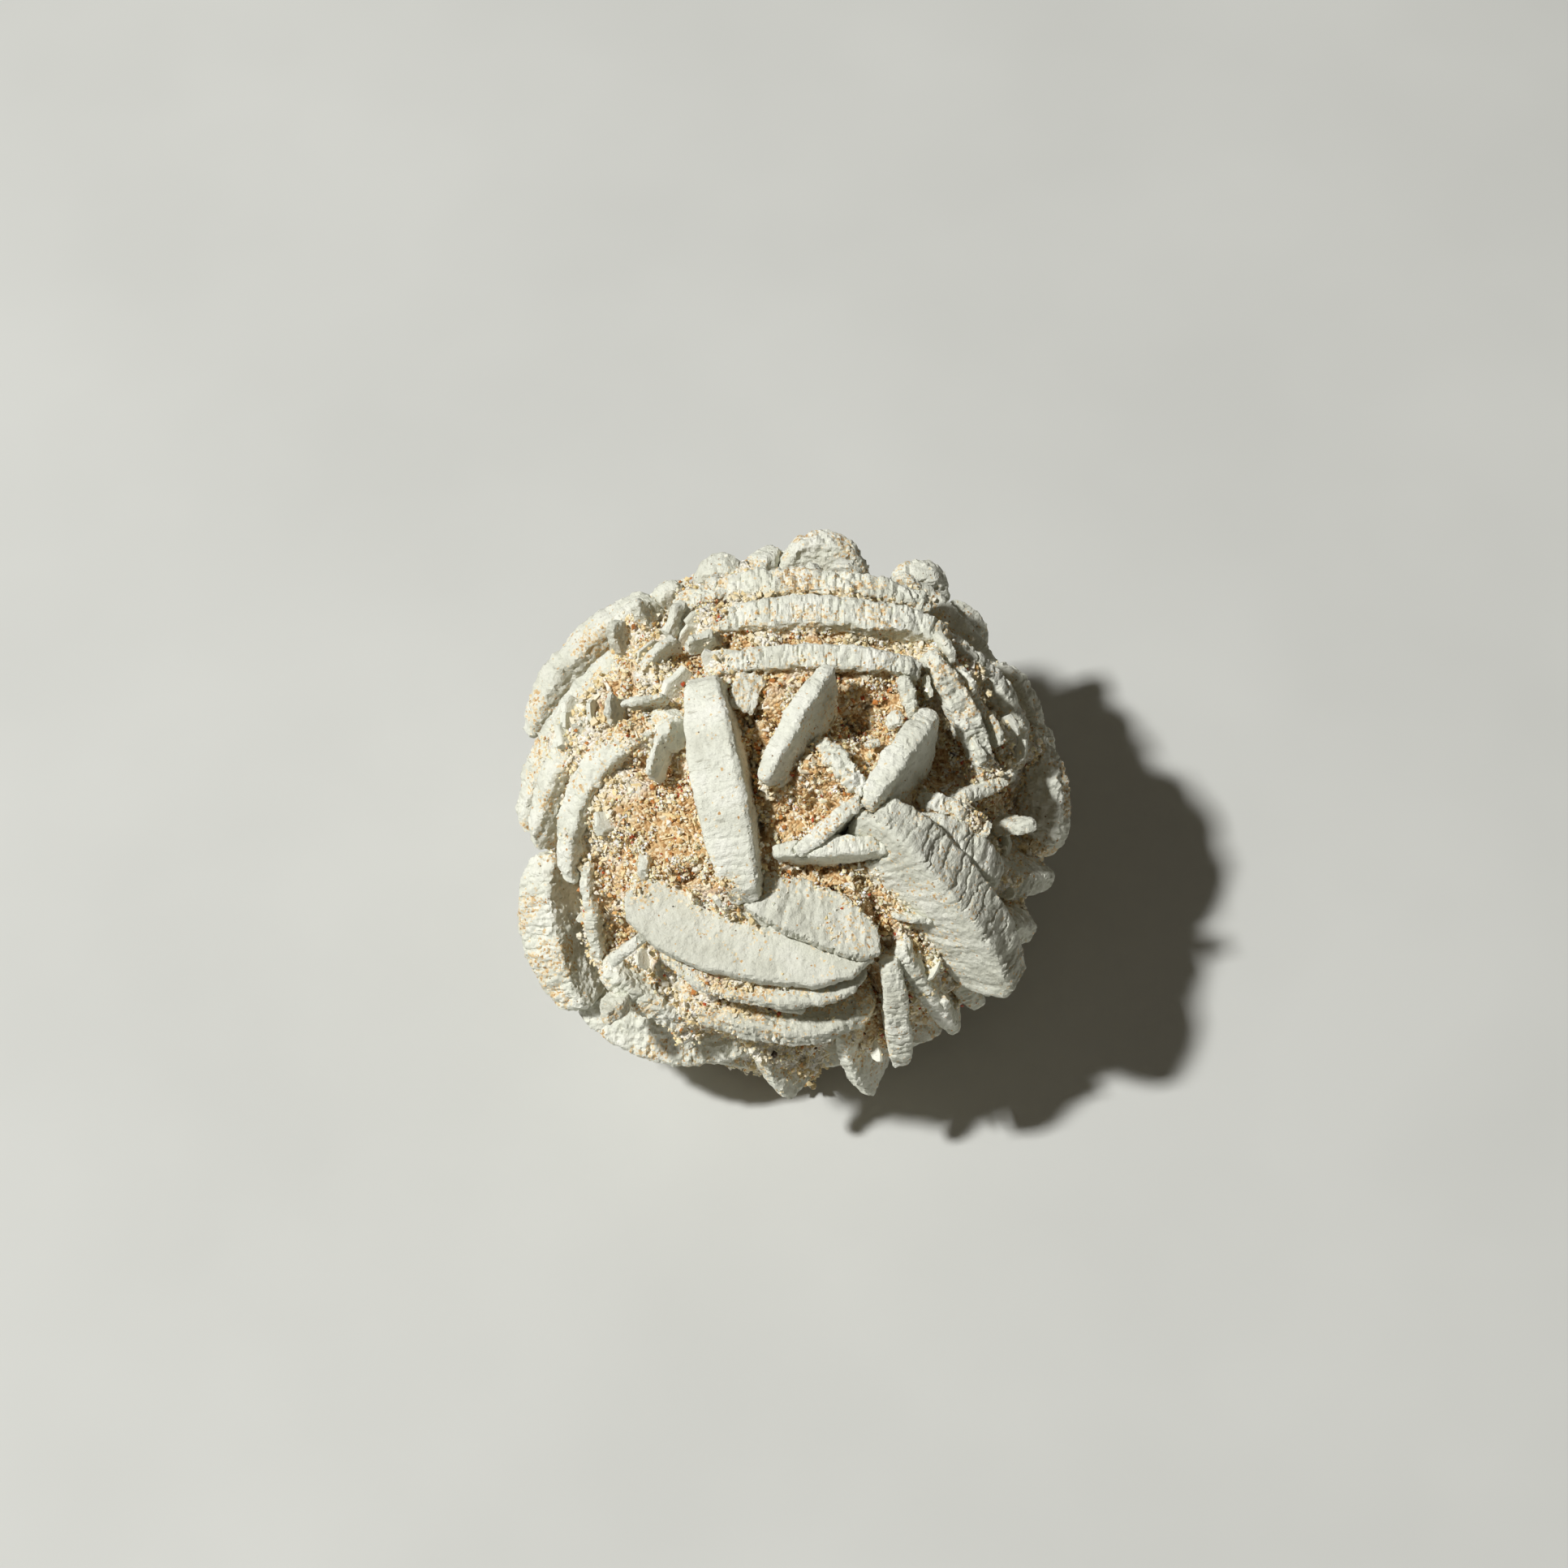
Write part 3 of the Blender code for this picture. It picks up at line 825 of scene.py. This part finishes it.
def triangles(meshes):
    """Corner positions of every triangle of some meshes, as one array."""
    found = []
    for mesh in meshes:
        mesh.calc_loop_triangles()
        corners = np.empty(len(mesh.loop_triangles) * 3, dtype=np.int64)
        mesh.loop_triangles.foreach_get("vertices", corners)
        points = np.empty(len(mesh.vertices) * 3)
        mesh.vertices.foreach_get("co", points)
        found.append(points.reshape(-1, 3)[corners].reshape(-1, 3, 3))
    return np.concatenate(found)


def spots_on(corners, count):
    """Random points, with their normals, spread evenly over triangles."""
    normals = np.cross(corners[:, 1] - corners[:, 0], corners[:, 2] - corners[:, 0])
    areas = np.linalg.norm(normals, axis=1)
    chosen = random.choice(len(corners), count, p=areas / areas.sum())
    first, second = random.random(count), random.random(count)
    over = first + second > 1
    first[over], second[over] = 1 - first[over], 1 - second[over]
    sides = corners[chosen]
    points = (
        sides[:, 0]
        + first[:, None] * (sides[:, 1] - sides[:, 0])
        + second[:, None] * (sides[:, 2] - sides[:, 0])
    )
    return points, normals[chosen] / areas[chosen, None]


def turns(count):
    """Random rotations, as an array of matrices."""
    q = random.normal(size=(count, 4))
    w, x, y, z = (q / np.linalg.norm(q, axis=1)[:, None]).T
    rows = [
        [1 - 2 * (y * y + z * z), 2 * (x * y - z * w), 2 * (x * z + y * w)],
        [2 * (x * y + z * w), 1 - 2 * (x * x + z * z), 2 * (y * z - x * w)],
        [2 * (x * z - y * w), 2 * (y * z + x * w), 1 - 2 * (x * x + y * y)],
    ]
    return np.array(rows).transpose(2, 0, 1)


def strew(name, shape, places, turned, sizes, tints, ragged, material):
    """Joins copies of a small shape into pieces, each copy turned, sized, and tinted."""
    verts, faces = shape
    for number, first in enumerate(range(0, len(places), PIECE_LIMIT)):
        part = slice(first, first + PIECE_LIMIT)
        count = len(places[part])
        copies = verts[None] * sizes[part][:, None, :]
        copies = copies * (1 + ragged * random.uniform(-1, 1, (count, len(verts), 1)))
        copies = np.einsum("nij,nvj->nvi", turned[part], copies) + places[part][:, None]
        copies[:, :, 2] = np.maximum(copies[:, :, 2], 0.0)
        piece_faces = faces[None] + (np.arange(count) * len(verts))[:, None, None]
        mesh = bpy.data.meshes.new("%s_%d" % (name, number + 1))
        mesh.from_pydata(
            copies.reshape(-1, 3), [], piece_faces.reshape(-1, faces.shape[1]).tolist()
        )
        tint = mesh.attributes.new("tint", "FLOAT_COLOR", "POINT")
        tint.data.foreach_set("color", np.repeat(tints[part], len(verts), axis=0).ravel())
        mesh.materials.append(material)
        piece = bpy.data.objects.new(mesh.name, mesh)
        bpy.context.scene.collection.objects.link(piece)
        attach(piece, "root")


def shape_of(thing):
    """The vertices and faces of a small primitive, which is then removed."""
    verts = np.array([vert.co for vert in thing.data.vertices])
    faces = np.array([list(face.vertices) for face in thing.data.polygons])
    bpy.data.objects.remove(thing)
    return verts, faces


def outside(points, tree, margin):
    """Which points lie outside the closed meshes of a tree by more than a margin."""
    kept = []
    for point in points:
        found, facing, _, gap = tree.find_nearest(Vector(point))
        kept.append((Vector(point) - found).dot(facing) > 0 or gap < margin)
    return np.array(kept)


def patchiness(points, scale, seed):
    """Slow noise over the rose, from about -1 to 1."""
    return np.array([noise.noise(Vector(point) / MM * scale + Vector((seed, 0, 0))) for point in points])


def crust_at(points):
    """How crusted the ground is near some points."""
    found = []
    for point in points:
        toward = FACE_TURN.transposed() @ (Vector(point) - ROSE_MIDDLE) / MM
        found.append(crusted(toward.normalized(), toward.length))
    return np.array(found)


crystal_corners = triangles([blade.data for blade in crystals])
crystal_tree = BVHTree.FromPolygons(
    [Vector(co) for co in crystal_corners.reshape(-1, 3)],
    [(i, i + 1, i + 2) for i in range(0, len(crystal_corners) * 3, 3)],
)
ground_corners = triangles([ground.data])

# Quartz sand, worn by wind: small glassy grains that glow a little where light enters them.
quartz, tree, shader = new_material("quartz_sand_grains")
tint = node(tree, "ShaderNodeAttribute", attribute_name="tint").outputs["Color"]
tree.links.new(tint, shader.inputs["Base Color"])
shader.inputs["Roughness"].default_value = 0.35
shader.inputs["IOR"].default_value = 1.54
shader.inputs["Subsurface Weight"].default_value = 0.6
shader.inputs["Subsurface Scale"].default_value = 0.0004
shader.inputs["Subsurface Radius"].default_value = (1.0, 0.7, 0.4)

SAND_TINTS = [
    # sRGB, share where the sand stands high, share in its hollows, whose darker tints are painted shade
    ("#F3EAD3", 0.36, 0.10),
    ("#EEDFBB", 0.28, 0.20),
    ("#E6CD9C", 0.15, 0.26),
    ("#DBB178", 0.05, 0.20),
    ("#BE8146", 0.01, 0.14),
    ("#F5F1E6", 0.13, 0.04),
    ("#B0502C", 0.012, 0.035),
    ("#4A3D33", 0.008, 0.015),
]
tint_table = np.array([colour(code) for code, _, _ in SAND_TINTS])


def sand_tints(points):
    """A colour for each grain, darker and redder in the hollows of the ground, as painted shade."""
    high = np.cumsum([share for _, share, _ in SAND_TINTS])
    shaded_tint_shares = np.cumsum([share for _, _, share in SAND_TINTS])
    chosen = []
    for point, draw in zip(points, random.random(len(points))):
        # Painted shade: the deeper a grain lies in a hollow, the more it takes the darker tints.
        hollow = smoothstep(0.15, -0.45, relief(Vector(point)))
        chosen.append(np.searchsorted(high + (shaded_tint_shares - high) * hollow, draw))
    return tint_table[np.minimum(chosen, len(tint_table) - 1)]


def clumps_on(corners, count, clump, spread):
    """Random points gathered in clumps, spread about spots on the ground, some high, some low."""
    points, normals = spots_on(corners, count)
    lead = np.arange(count) // clump * clump
    rise = random.uniform(-0.15, 0.35, count)[lead] * MM
    points = points[lead] + normals[lead] * rise[:, None]
    return points + random.normal(0, spread * MM, (count, 3))


# The five-sided cone stands on its base, whose middle is pulled down to a second point.
CHIP_REACH = 1.1
bpy.ops.mesh.primitive_cone_add(
    vertices=5, radius1=CHIP_REACH, depth=CHIP_REACH, end_fill_type="TRIFAN"
)
chip = bpy.context.object
for vert in chip.data.vertices:
    vert.co.z += CHIP_REACH / 2
    if vert.co.xy.length < 0.1 and vert.co.z < 0.5:
        vert.co.z = -CHIP_REACH
blunt_chip = shape_of(chip)

points = clumps_on(ground_corners, GRAIN_SPOTS, 12, 0.25)
crust = crust_at(points)
free = (points[:, 2] > 0.4 * MM) & (crust < random.uniform(0.3, 1.5, len(points)))
points = points[free]
points = points[outside(points, crystal_tree, 0.1 * MM)]
count = len(points)
radii = np.clip(random.lognormal(math.log(0.13), 0.34, count), 0.08, 0.32) * MM
sizes = radii[:, None] * random.uniform(0.65, 1.4, (count, 3))
tints = sand_tints(points)
strew("grains", blunt_chip, points, turns(count), sizes, tints, 0.30, quartz)


# ---------------------------------------------------------------------------------------
# Slivers and crumbs. Thin flakes of gypsum that weathered off the blades and are
# cemented in the sand, thickest in white drifts by the feet of the blades.

# Broken gypsum: matt, cream to white, with no gloss of its own.
chips, tree, shader = new_material("gypsum_chips")
tint = node(tree, "ShaderNodeAttribute", attribute_name="tint").outputs["Color"]
tree.links.new(tint, shader.inputs["Base Color"])
shader.inputs["Roughness"].default_value = 0.6

bpy.ops.mesh.primitive_cube_add(size=2.0)
flake = bpy.context.object
for vert in flake.data.vertices:
    if vert.co.z > 0:
        vert.co.x *= 0.35
        vert.co.y *= 0.5
flake = shape_of(flake)

points, _ = spots_on(ground_corners, SLIVER_SPOTS)
drift = patchiness(points, 0.28, 3.0) + 0.25
free = (drift > random.uniform(-0.1, 0.6, len(drift))) & (points[:, 2] > 0.6 * MM)
points = points[free]
points = points[outside(points, crystal_tree, 0.1 * MM)]
count = len(points)
lengths = random.uniform(0.2, 0.6, count) * MM
sizes = np.column_stack(
    [random.uniform(0.16, 0.42, count) * MM, random.uniform(0.04, 0.09, count) * MM, lengths]
)
whites = np.array([colour(code) for code in ["#E9E5D6", "#E8E0C8", "#EADCB8", "#E4CF9E"]])
tints = whites[random.integers(0, 4, count)]
strew("slivers", flake, points, turns(count), sizes, tints, 0.15, chips)

points = clumps_on(ground_corners, CRUMB_SPOTS, 10, 0.32)
drift = patchiness(points, 0.22, 9.0) + 0.9 * crust_at(points) - 0.08
free = (drift > random.uniform(0.0, 0.9, len(drift))) & (points[:, 2] > 0.6 * MM)
points = points[free]
points = points[outside(points, crystal_tree, 0.1 * MM)]
count = len(points)
sizes = random.uniform(0.12, 0.34, count)[:, None] * random.uniform(0.6, 1.3, (count, 3)) * MM
tints = whites[random.integers(0, 4, count)]
strew("crumbs", blunt_chip, points, turns(count), sizes, tints, 0.35, chips)


# Sand and crumbs that stick to the crusted blades and low on the others.
points, _ = spots_on(crystal_corners, STUCK_SPOTS)
stuck = []
for point in points:
    found, facing, _, gap = ground_tree.find_nearest(Vector(point))
    above_sand = gap / MM * (1 if (Vector(point) - found).dot(facing) > 0 else -1)
    stuck.append(above_sand)
stuck = np.array(stuck)
drift = patchiness(points, 0.35, 15.0) + 0.5 * patchiness(points, 1.1, 21.0)
wanted = drift > 0.05 + 0.28 * np.clip(stuck, 0, 3) + random.uniform(0, 0.35, len(points))
points = points[wanted & (stuck > 0) & (points[:, 2] > 0.6 * MM)]
count = len(points)
is_sand = patchiness(points, 0.5, 31.0) + random.uniform(-0.3, 0.3, count) > 0.05
radii = np.clip(random.lognormal(math.log(0.11), 0.3, count), 0.07, 0.24) * MM
sizes = radii[:, None] * random.uniform(0.65, 1.4, (count, 3))
tints = sand_tints(points)
strew(
    "stuck_grains",
    blunt_chip,
    points[is_sand],
    turns(is_sand.sum()),
    sizes[is_sand],
    tints[is_sand],
    0.3,
    quartz,
)
crumb = ~is_sand
tints = whites[random.integers(0, 4, count)]
strew(
    "stuck_crumbs",
    blunt_chip,
    points[crumb],
    turns(crumb.sum()),
    sizes[crumb],
    tints[crumb],
    0.35,
    chips,
)
